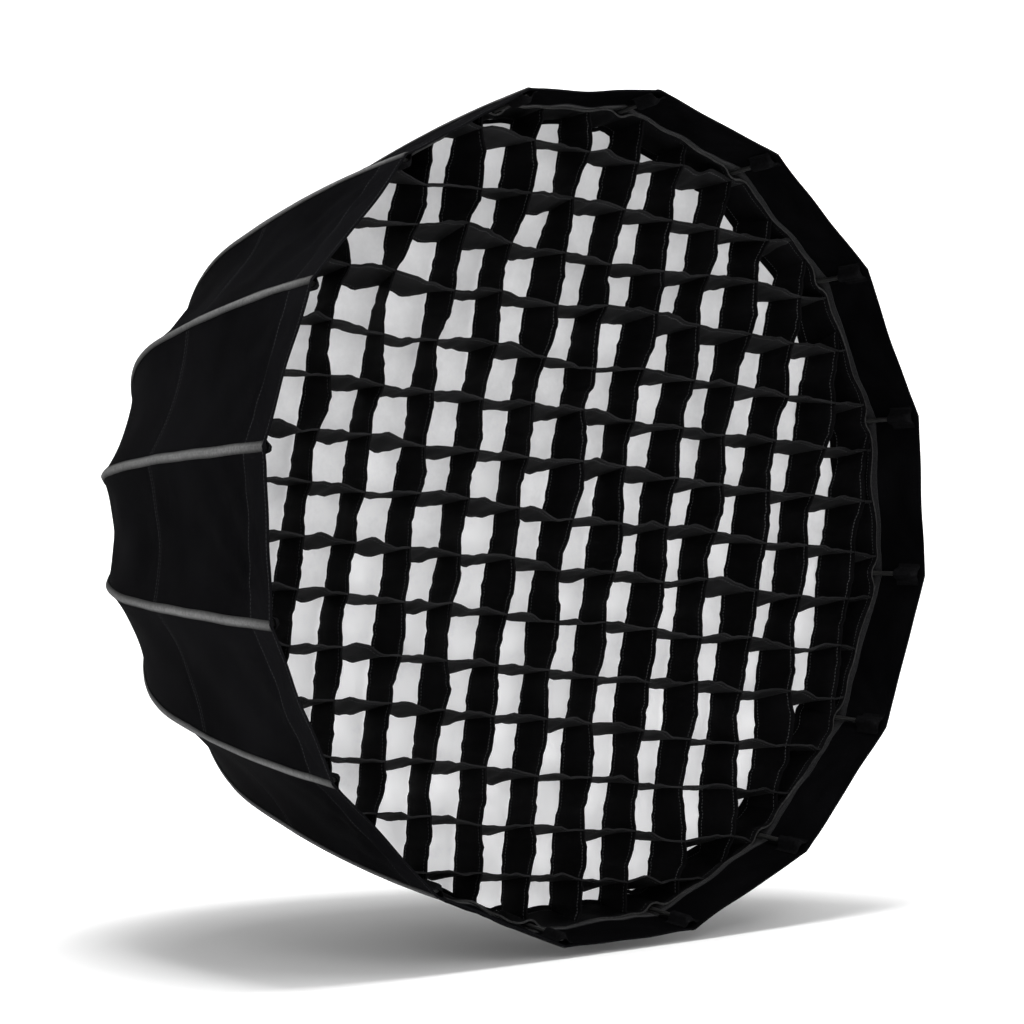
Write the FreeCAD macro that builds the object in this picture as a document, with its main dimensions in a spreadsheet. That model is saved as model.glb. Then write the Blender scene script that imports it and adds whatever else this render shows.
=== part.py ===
"""Deep parabolic softbox, 90 cm class: sixteen hinged ribs, fabric shell, diffuser, baffle and fabric grid.

Frame: the optical axis is Y and the box looks towards -Y. The origin is on the axis, at the seating plane
of the bayonet insert, and +Z is up. Millimetres.
"""
import FreeCAD, Part
import os
from math import atan2, cos, degrees, hypot, radians, sin, sqrt
from FreeCAD import Placement, Rotation, Vector

doc = FreeCAD.newDocument("softbox")
sheet = doc.addObject("Spreadsheet::Sheet", "sheet")

SIZES = {
    # ribs and the outline of the shell
    "rib_count": 16,
    "mouth_radius": 450,        # from the axis to a corner of the front edge
    "bow_angle_front": 8.3,     # angle between rib and axis at the front edge
    "bow_angle_mid": 17.5,      # where the front bow meets the main bow
    "bow_angle_rear": 57.0,     # where the main bow meets the rear bow, which ends square to the axis
    "bow_length_front": 395,
    "bow_length_mid": 322,
    "bow_length_rear": 41,
    "shell_rear_y": -23,        # rear face of the shell where it is clamped in the hub
    "shell_inner_radius": 90,
    "cloth_thick": 1.4,
    "hem_width": 48,            # hem band along the front edge
    "cross_seam_depth": 300,    # seam across each gore, measured along it from the front edge
    "tape_width": 11,
    "tape_thick": 1.2,
    "tape_start": 3,
    "tape_end_radius": 112,
    # rods
    "rod_radius": 2.5,
    "rod_inset": 8,             # from the corner line of the shell in to the middle of the rod
    "rod_start": 12,
    "cap_radius": 3.6,
    "cap_length": 16,
    "pocket_wall": 1.0,
    "pocket_gap": 0.6,
    "pocket_length": 26,
    # hinged brackets
    "pivot_radius": 92,
    "bracket_width": 7.4,
    "bracket_heel": 5.5,
    "socket_start": 104,
    "socket_end": 131,
    "pin_radius": 2.0,
    "pin_length": 20,
    "pin_play": 0.05,
    # hub
    "ring_bore": 62,
    "ring_radius": 98,
    "ring_front_y": -39,
    "ring_gap": 0.5,            # room for the cloth between ring and cover
    "slot_width": 8.2,
    "slot_floor_radius": 84,
    "cover_bore": 60,
    "cover_radius": 104,
    "cover_plate": 4,
    "cover_shoulder": 6.5,
    "cover_rim_radius": 88,
    "cover_rim_depth": 22,
    "cover_front_y": -23,
    "insert_wall_gap": 0.5,
    "screw_count": 8,
    "screw_circle": 72,
    "screw_radius": 2,
    "screw_head_radius": 3.8,
    "screw_head_height": 2.4,
    # bayonet insert
    "light_bore_radius": 46,
    "insert_radius": 76,
    "insert_front_y": -12,
    "insert_plate": 6,
    "land_radius": 70,
    "collar_radius": 49.5,
    "collar_length": 12,
    "lug_count": 3,
    "lug_radius": 56,
    "lug_angle": 40,
    "lug_thick": 4,
    "lug_setback": 7,
    # release ring
    "release_bore": 64,
    "release_radius": 80,
    "release_thick": 4.5,
    "release_gap": 3.0,
    "release_tab_width": 18,
    "release_tab_length": 10,
    "release_tab_depth": 9,
    # clamp knobs
    "knob_count": 3,
    "knob_y": -9,
    "knob_radius": 9.5,
    "knob_length": 16,
    "knob_start": 90.5,
    "knob_flutes": 8,
    "flute_radius": 2.2,
    "clamp_radius": 3,
    "clamp_tip": 76.3,
    # loop tape, diffuser, baffle and grid
    "front_gap": 1.2,           # from the shell to what is fastened inside it
    "grid_setback": 62,         # from the front edge of the shell to the front edge of the grid
    "grid_depth": 50,
    "grid_cloth": 1.2,
    "column_pitch": 67.7,
    "row_pitch": 54.9,
    "grid_turn": 10,            # the cells stand turned by this angle in the mouth
    "lap_gap": 0.3,
    "rod_clearance": 8,         # from the border in to the diffuser and the strip ends, past the rods
    "end_lap": 6,               # a strip stops short of a crossing nearer than this to its end
    "diffuser_thick": 1.0,
    "diffuser_gap": 1.0,
    "diffuser_hem_width": 7,
    "loop_tape_width": 60,
    "baffle_depth": 300,        # from the front edge to the inner baffle
    "baffle_radius": 250,
    "baffle_rim": 14,
    "strap_width": 16,
    "strap_thick": 1.0,
    "strap_count": 8,
    "button_radius": 7,
    "button_height": 4,
}

row = 1
for name, value in SIZES.items():
    sheet.set("A%d" % row, name)
    sheet.set("B%d" % row, str(value))
    sheet.setAlias("B%d" % row, name)
    row += 1
doc.recompute()

ACROSS = Rotation(Vector(1, 0, 0), -90)     # stands a part that was drawn along Z along +Y
OUTWARD = Rotation(Vector(0, 1, 0), 90)     # lays a part that was drawn along Z along +X
parts = []


def size(name):
    """A driving dimension, from the sheet."""
    return float(sheet.get(name))


def turn(angle):
    """A turn about the optical axis, counter-clockwise as seen from the front."""
    return Placement(Vector(), Rotation(Vector(0, -1, 0), angle))


def rib_angle(index):
    return 360 / size("rib_count") * (index + 0.5)


def bind(thing, **cells):
    """Ties properties to cells: Radius='name' or Radius='name * 2'."""
    for prop, formula in cells.items():
        words = [("sheet." + w) if w in SIZES else w for w in formula.split()]
        thing.setExpression(prop.replace("_at_", ".Base."), " ".join(words))
    return thing


def make(kind, name, **cells):
    return bind(doc.addObject(kind, name), **cells)


def node(thing, label):
    """Names a finished sub-part."""
    thing.Label = label
    parts.append(thing)
    return thing


def shaped(name, shape):
    """A sub-part whose shape follows a computed outline."""
    thing = doc.addObject("Part::Feature", name)
    thing.Shape = shape
    return thing


def together(name, things, placement=None):
    group = doc.addObject("Part::Compound", name)
    group.Links = things
    if placement:
        group.Placement = placement
    return group


def cut(name, base, tool):
    thing = doc.addObject("Part::Cut", name)
    thing.Base = base
    thing.Tool = tool
    return thing


def ring_of(name, thing, angles):
    """Copies of a thing round the optical axis, as one group of separate solids."""
    copies = [together("%s_%d" % (name, i), [thing], turn(a)) for i, a in enumerate(angles)]
    return together(name, copies)


def tube_along_axis(name, outer, inner, length, y_start):
    """A ring about the optical axis, from y_start rearwards."""
    body = make("Part::Cylinder", name + "_outer", Radius=outer, Height=length)
    body.Placement.Rotation = ACROSS
    bind(body, Placement_at_y=y_start)
    hole = make("Part::Cylinder", name + "_inner", Radius=inner, Height=length)
    hole.Placement.Rotation = ACROSS
    bind(hole, Placement_at_y=y_start)
    return cut(name, body, hole)


def turned(name, corners, y_start):
    """A body of revolution about the optical axis. A corner is (radius, distance rearwards from y_start)."""
    body = doc.addObject("PartDesign::Body", name)
    sketch = body.newObject("Sketcher::SketchObject", name + "_profile")
    plane = [f for f in body.Origin.OriginFeatures if f.Role == "XZ_Plane"][0]
    sketch.AttachmentSupport = [(plane, "")]
    sketch.MapMode = "FlatFace"
    points = [Vector(value_of(r), value_of(z), 0) for r, z in corners]
    import Sketcher
    for i, point in enumerate(points):
        sketch.addGeometry(Part.LineSegment(point, points[(i + 1) % len(points)]), False)
    for i in range(len(points)):
        sketch.addConstraint(Sketcher.Constraint("Coincident", i, 2, (i + 1) % len(points), 1))
    for i, (radius, height) in enumerate(corners):
        pin_down(sketch, Sketcher, "DistanceX", i, points[i].x, radius, "radius_%d" % i)
        pin_down(sketch, Sketcher, "DistanceY", i, points[i].y, height, "height_%d" % i)
    doc.recompute()
    revolve = body.newObject("PartDesign::Revolution", name + "_turned")
    revolve.Profile = sketch
    revolve.ReferenceAxis = (sketch, ["V_Axis"])
    revolve.Angle = 360
    body.Tip = revolve
    body.Placement.Rotation = ACROSS
    bind(body, Placement_at_y=y_start)
    return body


def value_of(formula):
    """The number that a formula of cell names gives."""
    words = [str(size(w)) if w in SIZES else w for w in formula.split()]
    total = float(words[0])
    for sign, word in zip(words[1::2], words[2::2]):
        total += float(word) if sign == "+" else -float(word)
    return total


def pin_down(sketch, sketcher, kind, index, value, formula, label):
    """Fixes one coordinate of a corner, tied to its formula unless it is zero."""
    if abs(value) < 1e-9:
        axis = -1 if kind == "DistanceY" else -2
        sketch.addConstraint(sketcher.Constraint("PointOnObject", index, 1, axis))
        return
    number = sketch.addConstraint(sketcher.Constraint(kind, -1, 1, index, 1, value))
    sketch.renameConstraint(number, label)
    words = [("sheet." + w) if w in SIZES else w for w in formula.split()]
    sketch.setExpression("Constraints." + label, " ".join(words))


# ---------------------------------------------------------------- outline of the shell

class Bow:
    """The line of a rib in its own half-plane: three tangent arcs and a straight end at the hub."""

    def __init__(self, inset):
        """inset moves the line inwards, at right angles to itself."""
        angles = [radians(size("bow_angle_" + n)) for n in ("front", "mid", "rear")] + [radians(90)]
        lengths = [size("bow_length_" + n) for n in ("front", "mid", "rear")]
        self.runs = []
        depth = -inset * sin(angles[0])
        radius = size("mouth_radius") - inset * cos(angles[0])
        for start, end, length in zip(angles, angles[1:], lengths):
            bend = length / (end - start) - inset
            self.runs.append((start, end, bend, depth, radius))
            depth += bend * (sin(end) - sin(start))
            radius -= bend * (cos(start) - cos(end))
        self.end_depth = depth
        self.end_radius = radius
        self.length = sum((e - s) * b for s, e, b, _, _ in self.runs)

    def at(self, distance):
        """Depth, radius and angle at a distance along the line from the front."""
        for start, end, bend, depth, radius in self.runs:
            length = (end - start) * bend
            if distance <= length + 1e-9:
                angle = start + distance / bend
                return (depth + bend * (sin(angle) - sin(start)),
                        radius - bend * (cos(start) - cos(angle)), angle)
            distance -= length
        return self.end_depth, self.end_radius - distance, radians(90)


corner = Bow(0)
front_y = size("shell_rear_y") - corner.end_depth
half_step = radians(180 / size("rib_count"))


def below(distance, depth_in):
    """A point on the middle line of a gore, depth_in below its outer face."""
    depth, radius, angle = corner.at(distance)
    slope = atan2(sin(angle) * cos(half_step), cos(angle))
    return Vector(radius * cos(half_step) - depth_in * cos(slope), front_y + depth - depth_in * sin(slope), 0)


def spline(points):
    curve = Part.BSplineCurve()
    curve.interpolate(points)
    return curve.toShape()


def gore_solid(start, end, outside, inside):
    """A stretch of a gore between two distances along it, mitred against the next gores."""
    count = max(4, int((end - start) / 30))
    steps = [start + (end - start) * i / count for i in range(count + 1)]
    outer = [below(s, outside) for s in steps]
    inner = [below(s, inside) for s in steps]
    edges = [spline(outer), Part.makeLine(outer[-1], inner[-1]), spline(inner[::-1]),
             Part.makeLine(inner[0], outer[0])]
    face = Part.Face(Part.Wire(edges))
    reach = size("mouth_radius")
    slab = face.extrude(Vector(0, 0, 2 * reach))
    slab.translate(Vector(0, 0, -reach))
    far = 2 * reach
    wedge = Part.Face(Part.makePolygon([
        Vector(0, -far, 0), Vector(far, -far, far * sin(half_step) / cos(half_step)),
        Vector(far, -far, -far * sin(half_step) / cos(half_step)), Vector(0, -far, 0)]))
    return slab.common(wedge.extrude(Vector(0, 2 * far, 0))).Solids[0]


def round_the_axis(solid, offset):
    """A copy for each rib, the first turned on by offset half-steps."""
    copies = []
    for index in range(int(size("rib_count"))):
        copy = solid.copy()
        copy.Placement = turn(rib_angle(index) + degrees(half_step) * offset).multiply(copy.Placement)
        copies.append(copy)
    return Part.Compound(copies)


def shell_band(name, start, end, outside=0.0, inside=None):
    if inside is None:
        inside = size("cloth_thick")
    return node(shaped(name, round_the_axis(gore_solid(start, end, outside, inside), 1)), name)


shell_end = corner.length + corner.end_radius - size("shell_inner_radius")
shell_band("canopy_hem", 0, size("hem_width"))
shell_band("canopy_front_gores", size("hem_width"), size("cross_seam_depth"))
shell_band("canopy_rear_gores", size("cross_seam_depth"), shell_end)


def along(bow, start, end):
    """The edges of a bow between two distances, as tangent arcs and a straight end, in the XY plane."""
    edges = []
    passed = 0.0
    marks = []
    for s, e, b, _, _ in bow.runs:
        marks.append((passed, passed + (e - s) * b))
        passed += (e - s) * b
    for low, high in marks:
        a, c = max(low, start), min(high, end)
        if c - a > 0.01:
            points = [point_on(bow, t) for t in (a, (a + c) / 2, c)]
            edges.append(Part.Arc(*points).toShape())
    if end > passed + 0.01:
        edges.append(Part.makeLine(point_on(bow, passed), point_on(bow, end)))
    return edges


def point_on(bow, distance):
    depth, radius, _ = bow.at(distance)
    return Vector(radius, front_y + depth, 0)


# ---------------------------------------------------------------- seam tapes and tip pockets

def tape_solid():
    """A flat tape that lies over the corner of two gores."""
    lift = 0.3
    low = Bow(-lift)
    high = Bow(-lift - size("tape_thick"))
    end = corner.length + corner.end_radius - size("tape_end_radius")
    lower = along(low, size("tape_start"), end + (low.length - corner.length))
    upper = along(high, size("tape_start"), end + (high.length - corner.length))
    ends = [(lower[0].Vertexes[0].Point, upper[0].Vertexes[0].Point),
            (lower[-1].Vertexes[-1].Point, upper[-1].Vertexes[-1].Point)]
    sides = [Part.makeLine(*pair) for pair in ends]
    wire = Part.Wire(Part.__sortEdges__(lower + upper + sides))
    slab = Part.Face(wire).extrude(Vector(0, 0, size("tape_width")))
    slab.translate(Vector(0, 0, -size("tape_width") / 2))
    return slab


node(shaped("seam_tapes", round_the_axis(tape_solid(), 0)), "seam_tapes")

rod_line = Bow(size("rod_inset"))
tip = point_on(rod_line, size("rod_start"))
tip_angle = rod_line.at(size("rod_start"))[2]
tip_place = Placement(tip, Rotation(Vector(0, 0, 1), degrees(tip_angle)).multiply(ACROSS))

cap = make("Part::Cylinder", "tip_cap", Radius="cap_radius", Height="cap_length")
cap.Placement = tip_place.multiply(Placement(Vector(0, 0, -2), Rotation()))
cap_bore = make("Part::Cylinder", "tip_cap_bore", Radius="rod_radius", Height="cap_length")
cap_bore.Placement = tip_place
tip_cap = cut("tip_cap_hollow", cap, cap_bore)

pocket = make("Part::Cylinder", "pocket_outer", Radius="cap_radius + pocket_gap + pocket_wall",
              Height="pocket_length")
pocket.Placement = tip_place.multiply(Placement(Vector(0, 0, -4.5), Rotation()))
pocket_bore = make("Part::Cylinder", "pocket_inner", Radius="cap_radius + pocket_gap", Height="pocket_length")
pocket_bore.Placement = tip_place.multiply(Placement(Vector(0, 0, -3.5), Rotation()))
tip_pocket = cut("tip_pocket", pocket, pocket_bore)
rib_angles = [rib_angle(i) for i in range(int(size("rib_count")))]
node(ring_of("tip_pockets", tip_pocket, rib_angles), "tip_pockets")

# ---------------------------------------------------------------- ribs and their brackets

pivot_y = size("shell_rear_y") - size("rod_inset")
rod_end = rod_line.length + rod_line.end_radius - size("socket_start") - 2
spine = shaped("rod_spine", Part.Wire(along(rod_line, size("rod_start"), rod_end)))
section = make("Part::Circle", "rod_section", Radius="rod_radius")
section.Placement = tip_place
rod = doc.addObject("Part::Sweep", "rod")
rod.Sections = [section]
rod.Spine = (spine, ["Edge%d" % (i + 1) for i in range(len(spine.Shape.Edges))])
rod.Solid = True
rod.Frenet = False


def bracket():
    """A round heel on the pin, a tongue, and the socket that holds the rod."""
    heel = make("Part::Cylinder", "heel", Radius="bracket_heel", Height="bracket_width")
    bind(heel, Placement_at_x="pivot_radius", Placement_at_z="bracket_width * -0.5")
    heel.Placement.Base.y = pivot_y
    tongue = make("Part::Box", "tongue", Length="socket_start - pivot_radius", Width="bracket_heel * 2",
                  Height="bracket_width")
    bind(tongue, Placement_at_x="pivot_radius", Placement_at_z="bracket_width * -0.5")
    tongue.Placement.Base.y = pivot_y - size("bracket_heel")
    socket = make("Part::Cylinder", "socket", Radius="bracket_heel", Height="socket_end - socket_start")
    socket.Placement = Placement(Vector(0, pivot_y, 0), OUTWARD)
    bind(socket, Placement_at_x="socket_start")
    solid = doc.addObject("Part::MultiFuse", "bracket_solid")
    solid.Shapes = [heel, tongue, socket]
    bore = make("Part::Cylinder", "bracket_bore", Radius="pin_radius + pin_play", Height="bracket_width * 2")
    bind(bore, Placement_at_x="pivot_radius", Placement_at_z="bracket_width * -1")
    bore.Placement.Base.y = pivot_y
    seat = make("Part::Cylinder", "rod_seat", Radius="rod_radius", Height="socket_end - socket_start")
    seat.Placement = Placement(Vector(0, pivot_y, 0), OUTWARD)
    bind(seat, Placement_at_x="socket_start + 2")
    holes = together("bracket_holes", [bore, seat])
    return cut("bracket", solid, holes)


rib_bracket = bracket()
for index, angle in enumerate(rib_angles):
    number = "%02d" % (index + 1)
    node(together("rod_" + number, [rod, tip_cap], turn(angle)), "rib_rod_" + number)
    node(together("bracket_" + number, [rib_bracket], turn(angle)), "rib_bracket_" + number)

# ---------------------------------------------------------------- hub

blank = tube_along_axis("ring_blank", "ring_radius", "ring_bore",
                        "shell_rear_y - cloth_thick - ring_gap - ring_front_y", "ring_front_y")
slot = make("Part::Box", "slot", Length="ring_radius", Width="ring_front_y * -2", Height="slot_width")
bind(slot, Placement_at_x="slot_floor_radius", Placement_at_y="ring_front_y * 2",
     Placement_at_z="slot_width * -0.5")
pin_hole = make("Part::Cylinder", "pin_hole", Radius="pin_radius", Height="pin_length")
bind(pin_hole, Placement_at_x="pivot_radius", Placement_at_z="pin_length * -0.5")
pin_hole.Placement.Base.y = pivot_y
screw_angles = [360 / size("screw_count") * (i + 0.5) for i in range(int(size("screw_count")))]
screw_hole = make("Part::Cylinder", "screw_hole", Radius="screw_radius", Height="ring_front_y * -1")
screw_hole.Placement.Rotation = ACROSS
bind(screw_hole, Placement_at_x="screw_circle", Placement_at_y="ring_front_y - 1")
ring_holes = together("ring_holes", [
    ring_of("slots", slot, rib_angles),
    ring_of("pin_holes", pin_hole, rib_angles),
    ring_of("screw_holes", screw_hole, screw_angles)])
node(cut("ring", blank, ring_holes), "hub_ring")

pin = make("Part::Cylinder", "pin", Radius="pin_radius", Height="pin_length")
bind(pin, Placement_at_x="pivot_radius", Placement_at_z="pin_length * -0.5")
pin.Placement.Base.y = pivot_y
node(ring_of("pins", pin, rib_angles), "hinge_pins")

shoulder = "cover_plate + cover_shoulder"
cover = turned("cover", [
    ("cover_bore", "0"),
    ("cover_radius", "0"),
    ("cover_radius", "cover_plate"),
    ("cover_rim_radius", "cover_plate"),
    ("cover_rim_radius", "cover_rim_depth"),
    ("insert_radius + insert_wall_gap", "cover_rim_depth"),
    ("insert_radius + insert_wall_gap", shoulder),
    ("cover_bore", shoulder)], "cover_front_y")
tap_angles = [90 + 360 / size("knob_count") * i for i in range(int(size("knob_count")))]
tap = make("Part::Cylinder", "tap", Radius="clamp_radius", Height="cover_rim_radius")
tap.Placement.Rotation = OUTWARD
bind(tap, Placement_at_x="insert_radius - 1", Placement_at_y="knob_y")
cover_screw = make("Part::Cylinder", "cover_screw", Radius="screw_radius", Height="cover_plate + 4")
cover_screw.Placement.Rotation = ACROSS
bind(cover_screw, Placement_at_x="screw_circle", Placement_at_y="cover_front_y")
cover_holes = together("cover_holes", [
    ring_of("taps", tap, tap_angles),
    ring_of("cover_screws", cover_screw, screw_angles)])
node(cut("cover_drilled", cover, cover_holes), "hub_cover")

shank = make("Part::Cylinder", "shank", Radius="screw_radius", Height="cover_front_y - ring_front_y + 8")
shank.Placement.Rotation = ACROSS
bind(shank, Placement_at_x="screw_circle", Placement_at_y="ring_front_y")
head = make("Part::Cylinder", "head", Radius="screw_head_radius", Height="screw_head_height")
head.Placement.Rotation = ACROSS
bind(head, Placement_at_x="screw_circle", Placement_at_y="ring_front_y - screw_head_height")
socket_hex = make("Part::RegularPolygon", "head_hex", Circumradius="screw_radius")
hex_cut = make("Part::Extrusion", "hex_cut", LengthFwd="screw_head_height * 0.6")
hex_cut.Base = socket_hex
hex_cut.Dir = Vector(0, 0, 1)
hex_cut.Solid = True
hex_cut.Placement.Rotation = ACROSS
bind(hex_cut, Placement_at_x="screw_circle", Placement_at_y="ring_front_y - screw_head_height")
screw = doc.addObject("Part::Fuse", "screw_plain")
screw.Base = shank
screw.Tool = head
node(ring_of("screws", cut("screw", screw, hex_cut), screw_angles), "hub_screws")

# ---------------------------------------------------------------- bayonet insert

flange = turned("flange", [
    ("light_bore_radius", "0"),
    ("insert_radius", "0"),
    ("insert_radius", "insert_plate"),
    ("land_radius", "insert_plate"),
    ("land_radius", "insert_plate + 6"),
    ("collar_radius", "insert_plate + 6"),
    ("collar_radius", "insert_plate + 6 + collar_length"),
    ("light_bore_radius", "insert_plate + 6 + collar_length")], "insert_front_y")
lug_outer = make("Part::Cylinder", "lug_outer", Radius="lug_radius", Height="lug_thick", Angle="lug_angle")
lug_outer.Placement.Rotation = ACROSS
bind(lug_outer, Placement_at_y="lug_setback")
lug_inner = make("Part::Cylinder", "lug_inner", Radius="collar_radius - 1", Height="lug_thick")
lug_inner.Placement.Rotation = ACROSS
bind(lug_inner, Placement_at_y="lug_setback")
lug = cut("lug", lug_outer, lug_inner)
lugs = ring_of("lugs", lug, [360 / size("lug_count") * i for i in range(int(size("lug_count")))])
insert = doc.addObject("Part::Fuse", "insert")
insert.Base = flange
insert.Tool = lugs
node(insert, "bayonet_insert")

# ---------------------------------------------------------------- release ring

release = tube_along_axis("release", "release_radius", "release_bore", "release_thick",
                          "ring_front_y - release_gap - release_thick")
tab = make("Part::Box", "release_tab", Length="release_tab_length + 2", Width="release_tab_depth",
           Height="release_tab_width")
bind(tab, Placement_at_x="release_radius - release_tab_length - 2",
     Placement_at_y="ring_front_y - release_gap - release_tab_depth - 2",
     Placement_at_z="release_tab_width * -0.5")
release_ring = doc.addObject("Part::MultiFuse", "release_ring")
release_ring.Shapes = [release, ring_of("release_tabs", tab, [0, 180])]
node(release_ring, "release_ring")

# ---------------------------------------------------------------- clamp knobs

knob_blank = make("Part::Cylinder", "knob_blank", Radius="knob_radius", Height="knob_length")
knob_blank.Placement.Rotation = OUTWARD
bind(knob_blank, Placement_at_x="knob_start", Placement_at_y="knob_y")
knob_edge = doc.addObject("Part::Chamfer", "knob_edge")
knob_edge.Base = knob_blank
knob_edge.Edges = [(1, 1.2, 1.2), (3, 1.2, 1.2)]
flutes = []
for index in range(int(size("knob_flutes"))):
    angle = radians(360 / size("knob_flutes") * index)
    flute = make("Part::Cylinder", "flute_%d" % index, Radius="flute_radius", Height="knob_length + 4")
    flute.Placement = Placement(Vector(0, size("knob_y") + size("knob_radius") * sin(angle) * 1.08,
                                       size("knob_radius") * cos(angle) * 1.08), OUTWARD)
    bind(flute, Placement_at_x="knob_start - 2")
    flutes.append(flute)
clamp_seat = make("Part::Cylinder", "clamp_seat", Radius="clamp_radius", Height="knob_length * 0.6")
clamp_seat.Placement.Rotation = OUTWARD
bind(clamp_seat, Placement_at_x="knob_start", Placement_at_y="knob_y")
knob = cut("knob", knob_edge, together("knob_cuts", flutes + [clamp_seat]))
clamp = make("Part::Cylinder", "clamp", Radius="clamp_radius", Height="knob_start - clamp_tip + knob_length * 0.6")
clamp.Placement.Rotation = OUTWARD
bind(clamp, Placement_at_x="clamp_tip", Placement_at_y="knob_y")
for index, angle in enumerate(tap_angles):
    node(together("knob_%d" % index, [knob], turn(angle)), "knob_%d" % (index + 1))
    node(together("clamp_%d" % index, [clamp], turn(angle)), "clamp_screw_%d" % (index + 1))

# ---------------------------------------------------------------- loop tape, diffuser and grid

diffuser_depth = size("grid_setback") + size("grid_depth") + size("diffuser_gap")
tape_from = diffuser_depth - size("loop_tape_width") + 6
inner = size("cloth_thick") + 0.2
node(shaped("loop_tape", round_the_axis(
    gore_solid(tape_from, tape_from + size("loop_tape_width"), inner, inner + 1.0), 1)), "loop_tape")


lining = inner + 1.0 + size("front_gap")


def distance_at(depth):
    """The distance along a gore at which the surface for fastened pieces is this deep."""
    low, high = 0.0, corner.length
    while high - low > 0.001:
        middle = (low + high) / 2
        if below(middle, lining).y - front_y < depth:
            low = middle
        else:
            high = middle
    return low


def inside_radius(depth):
    """Corner radius of a flat piece that fits inside the shell at a depth."""
    return below(distance_at(depth), lining).x / cos(half_step)


def sixteen_sided(radius, turn_by=0.0):
    points = [turn(rib_angle(i) + turn_by).multVec(Vector(radius, 0, 0)) for i in range(16)]
    return Part.Face(Part.makePolygon(points + points[:1]))


def plate(radius, y, thick, hole=None):
    """A flat sixteen-sided cloth across the box."""
    face = sixteen_sided(radius)
    if hole:
        face = face.cut(sixteen_sided(hole))
    solid = face.extrude(Vector(0, thick, 0))
    solid.translate(Vector(0, y, 0))
    return solid.Solids[0]


diffuser_radius = inside_radius(diffuser_depth + 2) - size("rod_clearance")
diffuser_y = front_y + diffuser_depth
hem = size("diffuser_hem_width")
node(shaped("diffuser", plate(diffuser_radius - hem, diffuser_y, size("diffuser_thick"))), "diffuser")
node(shaped("diffuser_hem", plate(diffuser_radius, diffuser_y, size("diffuser_thick"),
                                  diffuser_radius - hem)), "diffuser_hem")

grid_y = front_y + size("grid_setback")
grid_end = size("grid_setback") + size("grid_depth")
node(shaped("grid_border", round_the_axis(
    gore_solid(distance_at(size("grid_setback")), distance_at(grid_end), lining,
               lining + size("grid_cloth")), 1)), "grid_border")
strip_gap = size("grid_cloth") / cos(half_step) + size("rod_clearance")
border_front = inside_radius(size("grid_setback")) - strip_gap
border_rear = inside_radius(grid_end) - strip_gap


def chord(offset, turn_by, corner_radius):
    """How far a strip at this offset from the axis reaches each way inside a sixteen-sided border."""
    radius = corner_radius * cos(half_step)
    low, high = -1e9, 1e9
    for step in range(16):
        a = radians(360 / 16 * step - turn_by)
        across, along_strip = cos(a), sin(a)
        room = radius - offset * across
        if along_strip > 1e-9:
            high = min(high, room / along_strip)
        elif along_strip < -1e-9:
            low = max(low, room / along_strip)
    return low, high


def strip(offset, pitch, turn_by, slots_in_front):
    """One grid strip, standing on edge, with half-lap slots where the other strips cross it."""
    low, high = chord(offset, turn_by, border_rear)
    low_front, high_front = chord(offset, turn_by, border_front)
    if high - low < pitch:
        return None
    deep = size("grid_depth")
    lap = deep / 2 + size("lap_gap")
    half_slot = size("grid_cloth") / 2 + size("lap_gap")
    places = [i * pitch for i in range(-9, 10) if low < i * pitch < high]
    if places[0] - low < size("end_lap"):
        low = low_front = places.pop(0) + 2
    if high - places[-1] < size("end_lap"):
        high = high_front = places.pop() - 2
    edge = 0 if slots_in_front else deep
    floor = lap if slots_in_front else deep - lap
    toothed = [(low if edge else low_front, edge)]
    for place in places:
        toothed += [(place - half_slot, edge), (place - half_slot, floor),
                    (place + half_slot, floor), (place + half_slot, edge)]
    toothed += [(high, deep), (high_front, 0)] if edge else [(high_front, 0), (high, deep)]
    toothed.append((low_front, 0) if edge else (low, deep))
    points = [Vector(-size("grid_cloth") / 2, y, z) for z, y in toothed]
    solid = Part.Face(Part.makePolygon(points + points[:1])).extrude(Vector(size("grid_cloth"), 0, 0))
    solid.translate(Vector(offset, grid_y, 0))
    solid.Placement = turn(turn_by).multiply(solid.Placement)
    return solid


def strips(name, pitch, other_pitch, turn_by, slots_in_front):
    found = [strip(i * pitch, other_pitch, turn_by, slots_in_front) for i in range(-9, 10)
             if abs(i * pitch) < border_rear - 30]
    return node(shaped(name, Part.Compound([s for s in found if s])), name)


strips("grid_columns", size("column_pitch"), size("row_pitch"), -size("grid_turn"), True)
strips("grid_rows", size("row_pitch"), size("column_pitch"), 90 - size("grid_turn"), False)

# ---------------------------------------------------------------- inner baffle

baffle_y = front_y + size("baffle_depth")
rim_inner = size("baffle_radius") - size("baffle_rim")
node(shaped("inner_baffle", plate(rim_inner, baffle_y, size("diffuser_thick"))), "inner_baffle")
node(shaped("baffle_rim", plate(size("baffle_radius"), baffle_y - 0.5, size("diffuser_thick") + 1,
                                rim_inner)), "baffle_rim")


def strap(angle):
    """A flat strap from the rim of the baffle to the middle of a gore."""
    start = size("baffle_radius") * cos(half_step) - 0.01
    end = below(size("baffle_depth") / cos(radians(14)), size("cloth_thick") + size("button_height") + 3).x
    solid = Part.makeBox(end - start, size("strap_thick"), size("strap_width"),
                         Vector(start, baffle_y, -size("strap_width") / 2))
    solid.Placement = turn(angle).multiply(solid.Placement)
    return solid, end


strap_angles = [360 / size("strap_count") * i for i in range(int(size("strap_count")))]
node(shaped("baffle_straps", Part.Compound([strap(a)[0] for a in strap_angles])), "baffle_straps")
button = make("Part::Cylinder", "button", Radius="button_radius", Height="button_height")
button.Placement = Placement(Vector(strap(0)[1], baffle_y + size("strap_thick") / 2, 0), OUTWARD)
node(ring_of("buttons", button, strap_angles), "baffle_buttons")

# ---------------------------------------------------------------- check and write

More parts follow.
